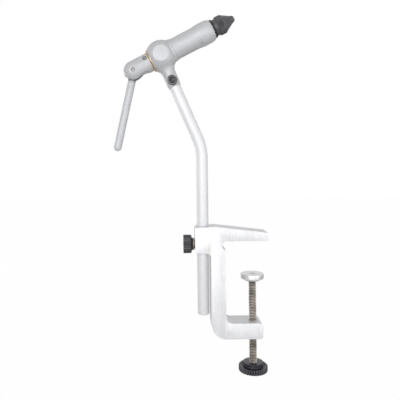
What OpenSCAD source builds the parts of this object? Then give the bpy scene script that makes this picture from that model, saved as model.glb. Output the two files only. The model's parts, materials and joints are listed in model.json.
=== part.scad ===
// Rotary fly tying vise: a C-clamp sawn from an extrusion, a bent stem that slides in it,
// and a turning head whose lever pushes a split collet shut in the nose cone.
// The origin is where the clamp screw's axis meets the underside of the upper jaw.
// +X runs from the stem towards the jaw tips, +Y away from the viewer, +Z up.

/* [Clamp frame] */
// Depth of the sawn extrusion, front to back
frame_depth = 20; // [14:0.5:26]
// Clear height between the upper jaw and the lower arm
throat_h = 65.7; // [60:0.1:90]
// Distance from the clamp screw's axis to the spine's inner face
throat_reach = 22.4; // [20:0.1:30]
// Width of the spine
spine_w = 11.9; // [8:0.1:16]
// Height of the lower arm
arm_h = 12.5; // [9:0.1:16]
// Reach of the lower arm past the clamp screw's axis
arm_tip = 7; // [6:0.1:10]
// Reach of the upper jaw past the clamp screw's axis
jaw_tip = 12; // [8:0.1:18]
// Height of the upper jaw at its tip
jaw_tip_h = 6.5; // [4:0.1:9]
// Height of the stem block above the jaw's underside
block_top = 10.9; // [9:0.1:12]
// Height of the ridge where the upper jaw starts to fall
ridge_h = 11.7; // [10:0.1:14]
// Depth of the stem block below the jaw's underside
block_drop = 9.7; // [9:0.1:16]
// Wall of the stem block outside the stem
block_wall = 1.8; // [1.5:0.1:4]
// Radius of the outer lower corner
outer_r = 12; // [4:0.5:16]
// Radius of the inner lower corner
throat_r = 5; // [2:0.5:8]

/* [Clamp screw] */
// Diameter of the clamp screw
screw_d = 6.35; // [5:0.05:8]
// Distance from the upper jaw down to the pad's face
pad_drop = 27.8; // [10:0.1:30]
// Diameter of the pad
pad_d = 18.6; // [14:0.2:24]
// Height of the pad's rim
pad_rim = 3.8; // [2.5:0.1:6]
// Height of the pad's tapered back
pad_back = 2.2; // [1.5:0.1:5]
// Length of the clamp screw below the pad's face, down to the knob's upper face
screw_len = 72.3; // [66:0.1:110]
// Diameter of the knob's wheel
wheel_d = 23.6; // [18:0.2:30]
// Thickness of the knob's wheel
wheel_t = 4.1; // [3:0.1:8]
// Diameter of the knob's upper disc
disc_d = 16.4; // [12:0.2:20]
// Thickness of the knob's upper disc
disc_t = 1.9; // [1.5:0.1:4]
// Number of notches round the wheel
wheel_notches = 36; // [24:1:44]

/* [Stem lock] */
// Distance from the jaw's underside down to the lock screw's axis
lock_drop = 3.2; // [2:0.1:4]
// Diameter of the lock screw
lock_screw_d = 4.76; // [4:0.02:5.2]
// Diameter of the thumb knob
lock_knob_d = 15; // [12:0.2:18]
// Thickness of the thumb knob's wheel
lock_knob_t = 5.6; // [4:0.1:10]
// Diameter of the insert's flange
insert_flange_d = 9.8; // [9:0.1:12]
// Number of notches round the thumb knob
lock_notches = 30; // [16:1:36]

/* [Stem] */
// Diameter of the stem
stem_d = 9.525; // [8:0.005:10]
// Height of the bend above the jaw's underside
bend_z = 75.6; // [60:0.1:110]
// Angle of the bend
bend_angle = 23.25; // [15:0.25:32]
// Centre-line radius of the bend
bend_r = 40; // [20:1:60]
// Length from the bend's corner to the middle of the hub
stem_upper = 82.1; // [70:0.1:110]
// Length of stem below the jaw's underside
stem_drop = 60.7; // [30:0.1:90]
// Gap between the stem and the spine
stem_gap = 1.04; // [0.8:0.02:4]

/* [Hub] */
// Tilt of the head above the horizontal
head_tilt = 27; // [20:0.25:35]
// Diameter of the hub's ball
ball_d = 26; // [24:0.2:30]
// Width across the hub's side flats
hub_w = 22.6; // [20:0.1:24]
// Distance from the hub's middle to its rear face
hub_back = 9.2; // [8.5:0.05:10.5]
// Distance from the hub's middle to its front face
hub_front = 8.5; // [7:0.1:9.5]
// Diameter of the hub's leg
leg_d = 11.2; // [11:0.1:13]
// Length from the hub's middle to the end of its leg
leg_len = 28; // [28:0.1:40]

/* [Head] */
// Outer diameter of the spindle
spindle_d = 10; // [9:0.1:10.6]
// Largest diameter of the barrel, towards the nose
barrel_d = 18.9; // [18:0.05:22]
// Diameter of the barrel's long waist
waist_d = 17.7; // [17:0.05:20]
// Length of the barrel
barrel_len = 35.9; // [36:0.1:44]
// Width of the front collar
collar_w = 1.6; // [1.5:0.1:5]
// Diameter of the lever housing
housing_d = 15.8; // [15:0.1:18]
// Distance from the hub's middle back to the lever's pin
pivot_back = 25.7; // [25:0.1:30]
// Distance of the lever's pin below the head's axis
pivot_drop = 0.9; // [0:0.1:1.2]
// Diameter of the lever's pin
lever_pin_d = 3.2; // [2.4:0.1:3.6]

/* [Lever] */
// Diameter of the lever
lever_d = 6.35; // [5:0.05:6.4]
// Length of the lever from its pin to its tip
lever_len = 66.7; // [50:0.1:90]
// Angle of the lever behind the vertical at rest
lever_lean = 12.7; // [0:0.1:20]
// Furthest the lever swings forward, which closes the jaws
lever_close = 46; // [30:1:48]
// Furthest the lever swings back, which slackens the jaws
lever_open = 10; // [0:1:12]
// Push of the cam for each turn-radian of the lever
cam_rise = 1.15; // [0.8:0.05:1.2]

/* [Nose and jaws] */
// Diameter of the lock ring
ring_d = 15.5; // [15.2:0.1:18]
// Width of the lock ring
ring_w = 2; // [1.5:0.1:3.5]
// Diameter of the nose's threaded neck
neck_d = 13.8; // [13.6:0.1:14.4]
// Length of the bare neck in front of the lock ring
neck_len = 2.6; // [2:0.1:6]
// Diameter of the nose's knurled sleeve
sleeve_d = 15.8; // [15.4:0.1:18]
// Length of the nose's knurled sleeve
sleeve_len = 6; // [4:0.1:8]
// Length of the nose's cone
cone_len = 7.1; // [6.5:0.1:8]
// Length of the jaw tips that stand out of the nose
tip_len = 2.3; // [1.5:0.1:6]
// Opening of one jaw at rest, in degrees
jaw_open = 0.72; // [0.3:0.01:0.8]
// Number of notches round the lock ring
ring_notches = 28; // [20:1:36]
// Number of notches round the nose's sleeve
sleeve_notches = 32; // [20:1:40]

/* [Hidden] */
$fn = 64;

// Clearances: round running fits, faces that run on each other, and seats that stay put
run_fit = 0.05;
run_gap = 0.1;
seat_fit = 0.02;
// How far a cut runs past the face that it starts from
over = 1;
// Small edge break on turned pieces
edge_break = 0.4;

// Clamp frame, from its named sizes
stem_r = stem_d / 2;
stem_bore_r = stem_r + run_fit;
spine_in_x = -throat_reach;
spine_out_x = spine_in_x - spine_w;
stem_x = spine_out_x - stem_gap - stem_r;
block_x = stem_x - stem_bore_r - block_wall;
ridge_share = 0.33;
ridge_x = spine_out_x + ridge_share * spine_w;
arm_bottom_z = -throat_h - arm_h;
block_top_r = 1.2;
block_low_r = 2.2;
block_fillet_r = 3.2;
arm_tip_top_r = 3.4;
arm_tip_low_r = 2.6;
jaw_tip_r = 0.8;
// Relief groove in the throat's upper corner
groove_r = 3.6;
groove_side_share = 0.18;
groove_drop_share = 0.95;
groove_x = spine_in_x + groove_side_share * groove_r;
groove_z = -groove_drop_share * groove_r;

// Stem lock
insert_r = 3.5;
insert_flange_t = 1.3;
insert_bore_r = lock_screw_d / 2 + run_fit;
lock_knob_z = insert_flange_t + run_gap;
lock_hub_t = 0.7;
lock_hub_r = 5;
lock_cone_t = 1.7;
lock_knob_top = lock_knob_z + lock_hub_t + lock_cone_t + lock_knob_t;
lock_tip_z = -block_wall - run_fit;
plug_len = 1;
plug_gap = 0.03;
lock_cap_t = 1.5;

// Clamp screw
screw_r = screw_d / 2;
screw_top_z = -pad_drop - pad_rim - pad_back - run_gap;
pad_neck_wall = 1.9;
pad_neck_r = screw_r + pad_neck_wall;
pilot_r = 1.25;
rivet_r = 2.2;
rivet_t = 0.6;
rivet_well = 0.9;
knob_top_z = -pad_drop - screw_len;
knob_groove_t = 1.1;
knob_groove_depth = 1.7;
knob_groove_r = disc_d / 2 - knob_groove_depth;
wheel_rim_w = 2.2;
wheel_dish = 0.2;
wheel_top_z = knob_top_z - disc_t - knob_groove_t;
wheel_low_z = wheel_top_z - wheel_t;
knob_cap_t = 1.6;
knob_pin_r = 0.6;
disc_notches = 28;
notch_r = 0.55;
fine_notch_r = 0.37;
notch_out_share = 0.33;

// Stem and hub
bend_setback = bend_r * tan(bend_angle / 2);
hub_x = stem_x - stem_upper * sin(bend_angle);
hub_z = bend_z + stem_upper * cos(bend_angle);
stem_end_break = 0.9;
// The straight above the bend is this much finer, so that its end lies inside the bend
bend_step = 0.05;
spigot_r = 4;
spigot_len = 15;
ball_r = ball_d / 2;
leg_r = leg_d / 2;
leg_blend_r = 8;
// The leg narrows towards the stem at its end
leg_taper_len = 3.4;
leg_end_step = 0.25;
leg_end_r = stem_r + leg_end_step;
leg_blend_z = sqrt(pow(ball_r + leg_blend_r, 2) - pow(leg_r + leg_blend_r, 2));
bushing_wall = 1.5;
spindle_r = spindle_d / 2;
bushing_bore_r = spindle_r + run_fit;
bushing_r = spindle_r + bushing_wall;
hub_bore_r = bushing_r + seat_fit;
rear_flange_r = 9.4;
rear_flange_t = 0.85;
front_flange_r = 8;
front_flange_t = 0.5;
rear_sleeve_len = 7.2;
front_sleeve_len = 6.6;

// Hub screw, across the leg
hub_screw_inset = 5.2;
hub_screw_at = leg_len - hub_screw_inset;
hub_screw_r = 2.5;
hub_screw_head_r = 4;
hub_screw_head_h = 2.8;
hub_screw_sink = 1.3;
hub_screw_rim = 0.6;
hub_screw_seat = leg_r - hub_screw_sink;
hub_screw_reach = 1.4;
hub_screw_hex = 4;

// Turning head: places along its axis, from the hub's middle towards the jaws
rear_flange_u = -hub_back - rear_flange_t;
housing_u = rear_flange_u - run_gap;
collar_u = hub_front + front_flange_t + run_gap;
barrel_u = collar_u + collar_w;
barrel_end_u = barrel_u + barrel_len;
barrel_r = barrel_d / 2;
waist_r = waist_d / 2;
collar_step = 0.1;
collar_r = barrel_r + collar_step;
barrel_round_r = 10;
barrel_round_len = 4.5;
barrel_round_u = barrel_end_u - barrel_round_len;
swell_len = 11.2;
swell_u = barrel_end_u - swell_len;
swell_blend = 3.6;
rear_swell = 0.4;
rear_swell_len = 2.8;
barrel_socket = 6.6;
spring_u = barrel_u + barrel_socket;
spring_well = 10;
spring_wall_u = spring_u + spring_well;
spring_wall_t = 2;
spring_well_r = 4.6;
rod_r = 2.5;
rod_bore_r = rod_r + run_gap;
rod_tenon_r = 2.1;
chamber_u = spring_wall_u + spring_wall_t;
chamber_r = 5.6;
tail_r = 6.2;
tail_len = 5.2;
spindle_tail = 3.75;
spindle_back_u = housing_u - spindle_tail;
housing_r = housing_d / 2;
// Round end of the lever housing, a ball set slightly below the head's axis
end_swell = 0.4;
end_drop = 0.35;
housing_end_r = housing_r + end_swell;

// Lever and its cam, on the lever's pin
pivot_x = hub_x - pivot_back * cos(head_tilt) + pivot_drop * sin(head_tilt);
pivot_z = hub_z - pivot_back * sin(head_tilt) - pivot_drop * cos(head_tilt);
lever_pin_r = lever_pin_d / 2;
lever_r = lever_d / 2;
slot_gap = 0.15;
slot_half = lever_r + slot_gap;
slot_side = 0.3;
roller_r = 2;
roller_pin_r = 1;
roller_at = 6.2;
cam_gap = 0.08;
cam_half_t = 1.5;
cam_boss_r = 3;
// Push of the collet between rest and closed
rad = PI / 180;
close_push = cam_rise * lever_close * rad;
// Seen from the pin, the roller lies above the head's axis, and falls a little as it is pushed
drop_angle = atan(pivot_drop / roller_at);
drop_fall = drop_angle - atan(pivot_drop / (roller_at + close_push));
roller_reach = norm([roller_at, pivot_drop]);
reach_gain = (norm([roller_at + close_push, pivot_drop]) - roller_reach) / close_push;
cam_slope = cam_rise * rad * reach_gain / (1 + drop_fall / lever_close);
contact_angle = head_tilt + lever_lean + drop_angle;
cam_spare_angle = 20;
cam_high_angle = contact_angle - lever_close - cam_spare_angle;
cam_low_angle = contact_angle + lever_open + cam_spare_angle;
cam_back_angle = 200;
cam_step = 6;
lever_neck_len = 9.6;
lever_tang_r = 1.7;
lever_tang_len = 3;
cam_pocket_r = 6.4;
fork_half = 2.3;
cheek_t = 1.5;
cheek_gap = 0.1;
fork_end_r = 2;
roller_u = -pivot_back + roller_at;
bridge_gap = 0.3;
fork_bridge_u = roller_u + roller_r + bridge_gap;
fork_bridge_t = 1.6;
fork_y = cam_half_t + cheek_gap + cheek_t;
fork_room = 0.4;
// Scallop under the housing, where the lever leaves it
scallop_r = 6;
scallop_out = 3.9;
scallop_at = 7.4;

// Nose and jaws: places along the head's axis
ring_u = barrel_end_u + run_gap;
ring_r = ring_d / 2;
neck_r = neck_d / 2;
sleeve_u = ring_u + ring_w + neck_len;
sleeve_r = sleeve_d / 2;
sleeve_break = 1.2;
cone_u = sleeve_u + sleeve_len;
nose_land_len = 0.5;
nose_end_u = cone_u + cone_len + nose_land_len;
nose_land_r = 3.3;
nose_hole_r = 2.9;
nose_bore_r = 5.1;
nose_taper = 26;
carrier_len = 4.8;
carrier_gap = 0.6;
carrier_room = 0.3;
carrier_u = chamber_u + carrier_gap;
carrier_r = chamber_r - carrier_room;
heel_r = 1.2;
heel_v = 2.2;
heel_sink = 0.7;
heel_u = carrier_u + carrier_len - heel_sink;
heel_neck = 1.6;
heel_half_len = 2.9;
jaw_root = 1.3;
jaw_body_r = 4.5;
jaw_len = nose_end_u + tip_len - heel_u;
jaw_tip_break = 1.1;
jaw_nub_r = 2.35;
jaw_face = 0.02;
jaw_fit = 0.05;

// Key screw in the barrel: seen from the jaws, below the viewer's side
key_angle = 55;
key_back = 0.2;
key_u = heel_u - key_back;
key_r = 1.5;
key_dog_r = 1;
key_dog_len = 0.75;
key_dog_at = carrier_r - key_dog_len;
key_slot_len = 4.6;

// Set screw in the lever housing
set_angle = 246;
set_back = 3.1;
set_u = housing_u - set_back;
set_r = 1.9;

// Return spring
spring_wire_r = 0.4;
spring_room = 1;
spring_coil_r = spring_well_r - spring_room;
spring_turns = 6;
spring_rings = 12;
spring_sides = 6;
seat_t = 0.9;
seat_gap = 0.5;
seat_u = spring_u + seat_gap;
spring_from_u = seat_u + seat_t + spring_wire_r + run_gap;
spring_to_u = spring_wall_u - spring_wire_r - run_gap;
spring_pitch = (spring_to_u - spring_from_u) / spring_turns;

// Frames of reference that the pieces are drawn in
module on_head() translate([hub_x, 0, hub_z]) rotate([0, 90 - head_tilt, 0]) children();
module on_leg() translate([hub_x, 0, hub_z]) rotate([0, 180 - bend_angle, 0]) children();
module on_bend_end() translate([stem_x - bend_r, 0, bend_z - bend_setback])
  rotate([0, -bend_angle, 0]) translate([bend_r, 0, 0]) children();
module on_lock() translate([block_x, 0, -lock_drop]) rotate([0, -90, 0]) children();
module on_lever() translate([pivot_x, 0, pivot_z]) rotate([0, lever_lean, 0]) children();

// Round bar from u0 to u1 with broken edges
module bar(r, u0, u1, brk = edge_break) rotate_extrude()
  polygon([[0, u0], [r - brk, u0], [r, u0 + brk], [r, u1 - brk], [r - brk, u1], [0, u1]]);

// Tube from u0 to u1 with broken outer edges
module tube(r, bore_r, u0, u1, brk = edge_break) difference() {
  bar(r, u0, u1, brk);
  translate([0, 0, u0 - over]) cylinder(h = u1 - u0 + 2 * over, r = bore_r);
}

// Plain cylinder from u0 to u1
module plain(r, u0, u1) translate([0, 0, u0]) cylinder(h = u1 - u0, r = r);

// Straight notches round a wheel of radius r, from u0 to u1
module notches(count, r, cut_r, u0, u1) for (i = [0:count - 1])
  rotate(i * 360 / count) translate([r + notch_out_share * cut_r, 0, 0]) plain(cut_r, u0, u1);

// The sliver between a square corner and an arc, cut away to round the corner
module corner_piece(at, turn, r) translate(at) rotate(turn) difference() {
  translate([-over, -over]) square(r + over);
  translate([r, r]) circle(r);
}

// Outline of the clamp frame, seen from the front; circles hollow its two inner corners
module frame_outline() difference() {
  polygon([[block_x, block_top], [ridge_x, ridge_h], [jaw_tip, jaw_tip_h], [jaw_tip, 0],
           [spine_in_x, 0], [spine_in_x, throat_r - throat_h], [spine_in_x + throat_r, -throat_h],
           [arm_tip, -throat_h], [arm_tip, arm_bottom_z], [spine_out_x, arm_bottom_z],
           [spine_out_x, -block_drop - block_fillet_r],
           [spine_out_x - block_fillet_r, -block_drop], [block_x, -block_drop]]);
  translate([spine_in_x + throat_r, throat_r - throat_h]) circle(throat_r);
  translate([spine_out_x - block_fillet_r, -block_drop - block_fillet_r]) circle(block_fillet_r);
  corner_piece([block_x, block_top], 270, block_top_r);
  corner_piece([block_x, -block_drop], 0, block_low_r);
  corner_piece([spine_out_x, arm_bottom_z], 0, outer_r);
  corner_piece([arm_tip, -throat_h], 180, arm_tip_top_r);
  corner_piece([arm_tip, arm_bottom_z], 90, arm_tip_low_r);
  corner_piece([jaw_tip, 0], 90, jaw_tip_r);
  corner_piece([jaw_tip, jaw_tip_h], 180, jaw_tip_r);
  translate([groove_x, groove_z]) circle(groove_r);
}

module clamp_frame() color("gainsboro") difference() {
  rotate([90, 0, 0]) linear_extrude(height = frame_depth, center = true) frame_outline();
  translate([stem_x, 0, -block_drop - over])
    cylinder(h = block_drop + ridge_h + 2 * over, r = stem_bore_r);
  on_lock() plain(insert_r + seat_fit, -block_wall - stem_bore_r, over);
  plain(screw_r + run_fit, arm_bottom_z - over, -throat_h + over);
}

// Flanged insert that gives the thin wall enough thread
module stem_insert() color("burlywood") on_lock() difference() {
  union() {
    plain(insert_r, -block_wall + 2 * edge_break, edge_break);
    bar(insert_flange_d / 2, 0, insert_flange_t, edge_break / 2);
  }
  plain(insert_bore_r, -block_wall - over, insert_flange_t + over);
}

module lock_plug() color("ivory") on_lock()
  plain(insert_bore_r - 2 * run_fit, lock_tip_z + run_fit + plug_gap,
        lock_tip_z + run_fit + plug_gap + plug_len);

module lock_stud() color("gray") on_lock()
  plain(lock_screw_d / 2, lock_tip_z + run_fit + 2 * plug_gap + plug_len,
        lock_knob_top - lock_cap_t - run_gap);

module lock_knob() color("dimgray") on_lock() difference() {
  rotate_extrude() polygon([
    [0, lock_knob_z], [lock_hub_r, lock_knob_z], [lock_hub_r, lock_knob_z + lock_hub_t],
    [lock_knob_d / 2, lock_knob_top - lock_knob_t],
    [lock_knob_d / 2, lock_knob_top - 2 * edge_break],
    [lock_knob_d / 2 - 2 * edge_break, lock_knob_top], [0, lock_knob_top]]);
  plain(lock_screw_d / 2 + seat_fit, lock_knob_z - over, lock_knob_top - lock_cap_t);
  notches(lock_notches, lock_knob_d / 2, fine_notch_r,
          lock_knob_z + lock_hub_t, lock_knob_top + over);
}

// Swivel pad, tapered towards the rod, with a well for the rivet
module clamp_pad() color("silver") difference() {
  rotate_extrude() polygon([
    [0, -pad_drop], [pad_d / 2 - edge_break, -pad_drop], [pad_d / 2, -pad_drop - edge_break],
    [pad_d / 2, -pad_drop - pad_rim], [pad_neck_r, -pad_drop - pad_rim - pad_back],
    [0, -pad_drop - pad_rim - pad_back]]);
  plain(pilot_r + run_fit, screw_top_z - over, -pad_drop + over);
  plain(rivet_r + run_gap, -pad_drop - rivet_well, -pad_drop + over);
}

module clamp_screw() color("darkkhaki") difference() {
  union() {
    bar(screw_r, wheel_low_z + knob_cap_t + run_gap, screw_top_z);
    plain(pilot_r, screw_top_z, -pad_drop - rivet_well + run_gap);
  }
  translate([0, 0, knob_top_z - disc_t / 2]) rotate([0, 90, 0])
    plain(knob_pin_r + seat_fit, -screw_r - over, screw_r + over);
}

module pad_rivet() color("silver")
  bar(rivet_r, -pad_drop - rivet_well + run_gap, -pad_drop - rivet_well + run_gap + rivet_t,
      edge_break / 2);

module clamp_knob() color("dimgray") difference() {
  union() {
    bar(wheel_d / 2, wheel_low_z, wheel_top_z, 2 * edge_break);
    plain(knob_groove_r, wheel_top_z, knob_top_z - disc_t);
    bar(disc_d / 2, knob_top_z - disc_t, knob_top_z, edge_break);
  }
  plain(screw_r + seat_fit, wheel_low_z + knob_cap_t, knob_top_z + over);
  notches(wheel_notches, wheel_d / 2, notch_r, wheel_low_z - over, wheel_top_z + edge_break);
  notches(disc_notches, disc_d / 2, fine_notch_r, knob_top_z - disc_t, knob_top_z + over);
  difference() {
    plain(wheel_d / 2 - wheel_rim_w, wheel_top_z - 2 * wheel_dish, wheel_top_z + wheel_dish);
    plain(knob_groove_r, wheel_top_z - over, wheel_top_z + over);
  }
  translate([-disc_d / 2, 0, knob_top_z - disc_t / 2]) rotate([0, 90, 0])
    plain(knob_pin_r + seat_fit, -over, disc_d + over);
}

module knob_pin() color("silver") translate([0, 0, knob_top_z - disc_t / 2]) rotate([0, 90, 0])
  plain(knob_pin_r, -disc_d / 2 + 2 * edge_break, disc_d / 2 - 2 * edge_break);

module stem() color("silver") difference() {
  union() {
    translate([stem_x, 0, 0]) rotate_extrude() polygon([
      [0, -stem_drop], [stem_r - stem_end_break, -stem_drop],
      [stem_r, -stem_drop + stem_end_break], [stem_r, bend_z - bend_setback],
      [0, bend_z - bend_setback]]);
    translate([stem_x - bend_r, 0, bend_z - bend_setback]) rotate([90, 0, 0])
      rotate_extrude(angle = bend_angle) translate([bend_r, 0]) circle(stem_r);
    on_bend_end() plain(stem_r - bend_step, -edge_break, stem_upper - bend_setback - leg_len);
    on_bend_end() plain(spigot_r, 0, stem_upper - bend_setback - leg_len + spigot_len);
  }
  on_leg() translate([0, 0, hub_screw_at]) rotate([90, 0, 0])
    plain(hub_screw_r + seat_fit, -hub_screw_reach - run_gap, spigot_r + over);
}

// Leg of the hub, blended into the ball by an arc
module hub_leg() rotate_extrude() union() {
  polygon([[0, 0], [leg_r, 0], [leg_r, leg_len - leg_taper_len], [leg_end_r, leg_len],
           [0, leg_len]]);
  difference() {
    translate([leg_r / 2, leg_blend_z * ball_r / (ball_r + leg_blend_r)])
      square([(leg_r + leg_blend_r) * ball_r / (ball_r + leg_blend_r) - leg_r / 2,
              leg_blend_z * leg_blend_r / (ball_r + leg_blend_r)]);
    translate([leg_r + leg_blend_r, leg_blend_z]) circle(leg_blend_r);
  }
}

module hub() color("darkgray") difference() {
  union() {
    difference() {
      translate([hub_x, 0, hub_z]) sphere(ball_r);
      on_head() for (side = [0, 180]) rotate(side)
        translate([-ball_r - over, hub_w / 2, -ball_r - over])
          cube([2 * (ball_r + over), ball_r, 2 * (ball_r + over)]);
    }
    on_leg() hub_leg();
  }
  on_head() plain(ball_r + over, hub_front, ball_r + over);
  on_head() plain(ball_r + over, -ball_r - over, -hub_back);
  on_head() plain(hub_bore_r, -ball_r, ball_r);
  on_leg() plain(spigot_r + seat_fit, leg_len - spigot_len - run_gap, leg_len + over);
  on_leg() translate([0, 0, hub_screw_at]) rotate([90, 0, 0]) {
    plain(hub_screw_head_r + hub_screw_rim, hub_screw_seat, leg_r + over);
    plain(hub_screw_r + seat_fit, 0, leg_r);
  }
}

module hub_screw() color("dimgray") on_leg() translate([0, 0, hub_screw_at]) rotate([90, 0, 0])
  difference() {
    union() {
      plain(hub_screw_r, -hub_screw_reach, hub_screw_seat);
      bar(hub_screw_head_r, hub_screw_seat, hub_screw_seat + hub_screw_head_h, edge_break);
    }
    plain_hex(hub_screw_hex, hub_screw_seat + hub_screw_head_h / 2,
              hub_screw_seat + hub_screw_head_h + over);
  }

// Hexagonal socket, given by its size across flats
module plain_hex(across, u0, u1) translate([0, 0, u0])
  cylinder(h = u1 - u0, r = across / sqrt(3), $fn = 6);

module rear_bushing() color("peru") on_head() difference() {
  union() {
    plain(bushing_r, -hub_back, -hub_back + rear_sleeve_len);
    bar(rear_flange_r, rear_flange_u, -hub_back, edge_break / 4);
  }
  plain(bushing_bore_r, rear_flange_u - over, -hub_back + rear_sleeve_len + over);
}

module front_bushing() color("peru") on_head() difference() {
  union() {
    plain(bushing_r, hub_front - front_sleeve_len, hub_front);
    bar(front_flange_r, hub_front, hub_front + front_flange_t, edge_break / 4);
  }
  plain(bushing_bore_r, hub_front - front_sleeve_len - over, hub_front + front_flange_t + over);
}

module spindle() color("silver") on_head()
  tube(spindle_r, rod_bore_r, spindle_back_u, spring_u - run_gap);

module front_collar() color("darkgray") on_head()
  tube(collar_r, spindle_r + seat_fit, collar_u, barrel_u);

// Barrel with a long waist, rounded over towards the nose, bored for spindle, spring, collet and nose
module barrel() color("darkgray") on_head() difference() {
  rotate_extrude() intersection() {
    polygon([[0, barrel_u], [waist_r + rear_swell - edge_break, barrel_u],
             [waist_r + rear_swell, barrel_u + edge_break], [waist_r, barrel_u + rear_swell_len],
             [waist_r, swell_u - swell_blend], [barrel_r, swell_u],
             [barrel_r, barrel_end_u], [0, barrel_end_u]]);
    union() {
      translate([0, barrel_u - over]) square([barrel_r + over, barrel_round_u - barrel_u + over]);
      translate([barrel_r - barrel_round_r, barrel_round_u]) circle(barrel_round_r, $fn = 180);
    }
  }
  plain(spindle_r + seat_fit, barrel_u - over, spring_u);
  plain(spring_well_r, spring_u - over, spring_wall_u);
  plain(rod_bore_r, spring_wall_u - over, chamber_u + over);
  plain(chamber_r, chamber_u, barrel_end_u + over);
  plain(tail_r + run_fit, barrel_end_u - tail_len - run_gap, barrel_end_u + over);
  rotate(key_angle) translate([0, 0, key_u]) rotate([90, 0, 0])
    plain(key_r + seat_fit, chamber_r / 2, barrel_r + over);
}

module key_screw() color("dimgray") on_head() rotate(key_angle) translate([0, 0, key_u])
  rotate([90, 0, 0]) difference() {
    union() {
      plain(key_r, chamber_r, waist_r);
      plain(key_dog_r, key_dog_at, chamber_r);
    }
    plain_hex(key_r, waist_r - key_r, barrel_r + over);
  }

// The room that the lever sweeps, seen along its pin: its two sides and what lies between
module lever_sweep() {
  side = slot_side + lever_r;
  front = side * [cos(lever_close), sin(lever_close)];
  back = side * [-cos(lever_open), sin(lever_open)];
  polygon([front, front + housing_d * [sin(lever_close), -cos(lever_close)],
           2 * housing_d * [0, -1],
           back + housing_d * [-sin(lever_open), -cos(lever_open)], back]);
}

module lever_housing() color("darkgray") difference() {
  on_head() union() {
    rotate_extrude() polygon([[0, -pivot_back], [housing_r, -pivot_back],
      [housing_r, housing_u - edge_break], [housing_r - edge_break, housing_u], [0, housing_u]]);
    translate([end_drop, 0, -pivot_back]) sphere(housing_end_r);
  }
  on_head() {
    plain(spindle_r + seat_fit, spindle_back_u, housing_u + over);
    translate([-fork_half - fork_room, -fork_y - run_gap, roller_u - fork_end_r - fork_room])
      cube([2 * (fork_half + fork_room), 2 * (fork_y + run_gap),
            spindle_back_u - roller_u + fork_end_r + 2 * fork_room]);
    translate([housing_r + scallop_out, 0, -pivot_back + scallop_at]) rotate([90, 0, 0])
      plain(scallop_r, -housing_r - over, housing_r + over);
    rotate(set_angle) translate([0, 0, set_u]) rotate([0, 90, 0])
      plain(set_r + seat_fit, spindle_r - over, housing_r + over);
  }
  on_lever() rotate([90, 0, 0]) plain(cam_pocket_r, -slot_half, slot_half);
  on_lever() rotate([90, 0, 0]) linear_extrude(height = 2 * slot_half, center = true)
    lever_sweep();
  translate([pivot_x, 0, pivot_z]) rotate([90, 0, 0])
    plain(lever_pin_r + seat_fit, -housing_end_r - over, housing_end_r + over);
}

module housing_screw() color("dimgray") on_head() rotate(set_angle) translate([0, 0, set_u])
  rotate([0, 90, 0]) difference() {
    plain(set_r, spindle_r + run_fit, housing_r - edge_break);
    plain_hex(set_r, housing_r - edge_break - set_r, housing_r + over);
  }

module lever_pin() color("silver") translate([pivot_x, 0, pivot_z]) rotate([90, 0, 0])
  bar(lever_pin_r, -housing_end_r + edge_break, housing_end_r - edge_break, edge_break / 2);

// Distance of the cam's edge from the pin, at an angle above the lever's forward side
function cam_edge(a) = roller_reach - roller_r - cam_gap
  + cam_slope * (a <= cam_low_angle ? contact_angle - max(a, cam_high_angle)
    : a <= cam_back_angle ? contact_angle - cam_low_angle
    : contact_angle - cam_low_angle + (cam_low_angle - cam_high_angle)
      * (a - cam_back_angle) / (360 + cam_high_angle - cam_back_angle));

module cam() color("gray") on_lever() difference() {
  union() {
    rotate([90, 0, 0]) linear_extrude(height = 2 * cam_half_t, center = true)
      polygon([for (i = [0:360 / cam_step - 1]) let (a = cam_high_angle + i * cam_step)
        cam_edge(a) * [cos(a), sin(a)]]);
    rotate([90, 0, 0]) plain(cam_boss_r, -lever_r, lever_r);
    plain(lever_r, -lever_neck_len, -lever_pin_r);
  }
  rotate([90, 0, 0]) plain(lever_pin_r + run_fit, -lever_r - over, lever_r + over);
  plain(lever_tang_r + seat_fit, -lever_neck_len - over,
        -lever_neck_len + lever_tang_len + run_gap);
}

module lever_rod() color("silver") on_lever() union() {
  translate([0, 0, -lever_len + lever_r]) sphere(lever_r);
  plain(lever_r, -lever_len + lever_r, -lever_neck_len);
  plain(lever_tang_r, -lever_neck_len, -lever_neck_len + lever_tang_len);
}

module cam_roller() color("silver") on_head() translate([0, 0, roller_u]) rotate([90, 0, 0])
  difference() {
    plain(roller_r, -cam_half_t + run_fit, cam_half_t - run_fit);
    plain(roller_pin_r + run_fit, -cam_half_t - over, cam_half_t + over);
  }

module roller_pin() color("gray") on_head() translate([0, 0, roller_u]) rotate([90, 0, 0])
  plain(roller_pin_r, -fork_y, fork_y);

// Fork that straddles the cam and carries the roller
module push_fork() color("gray") on_head() difference() {
  union() {
    for (side = [-1, 1])
      translate([0, side * (fork_y - cheek_t / 2), roller_u]) {
        rotate([90, 0, 0]) plain(fork_end_r, -cheek_t / 2, cheek_t / 2);
        translate([-fork_end_r, -cheek_t / 2, 0])
          cube([2 * fork_end_r, cheek_t, fork_bridge_u - roller_u]);
      }
    translate([-fork_half, -fork_y, fork_bridge_u])
      cube([2 * fork_half, 2 * fork_y, fork_bridge_t]);
  }
  translate([0, 0, roller_u]) rotate([90, 0, 0])
    plain(roller_pin_r + seat_fit, -housing_r, housing_r);
  plain(rod_tenon_r + seat_fit, fork_bridge_u - over, fork_bridge_u + fork_bridge_t + over);
}

module push_rod() color("silver") on_head() union() {
  plain(rod_tenon_r, fork_bridge_u + edge_break, fork_bridge_u + fork_bridge_t);
  plain(rod_r, fork_bridge_u + fork_bridge_t, carrier_u);
  plain(rod_tenon_r, carrier_u, carrier_u + carrier_len / 2 - edge_break);
}

module spring_seat() color("gray") on_head()
  tube(spring_well_r - 2 * run_gap, rod_r + seat_fit, seat_u, seat_u + seat_t, edge_break / 2);

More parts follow.
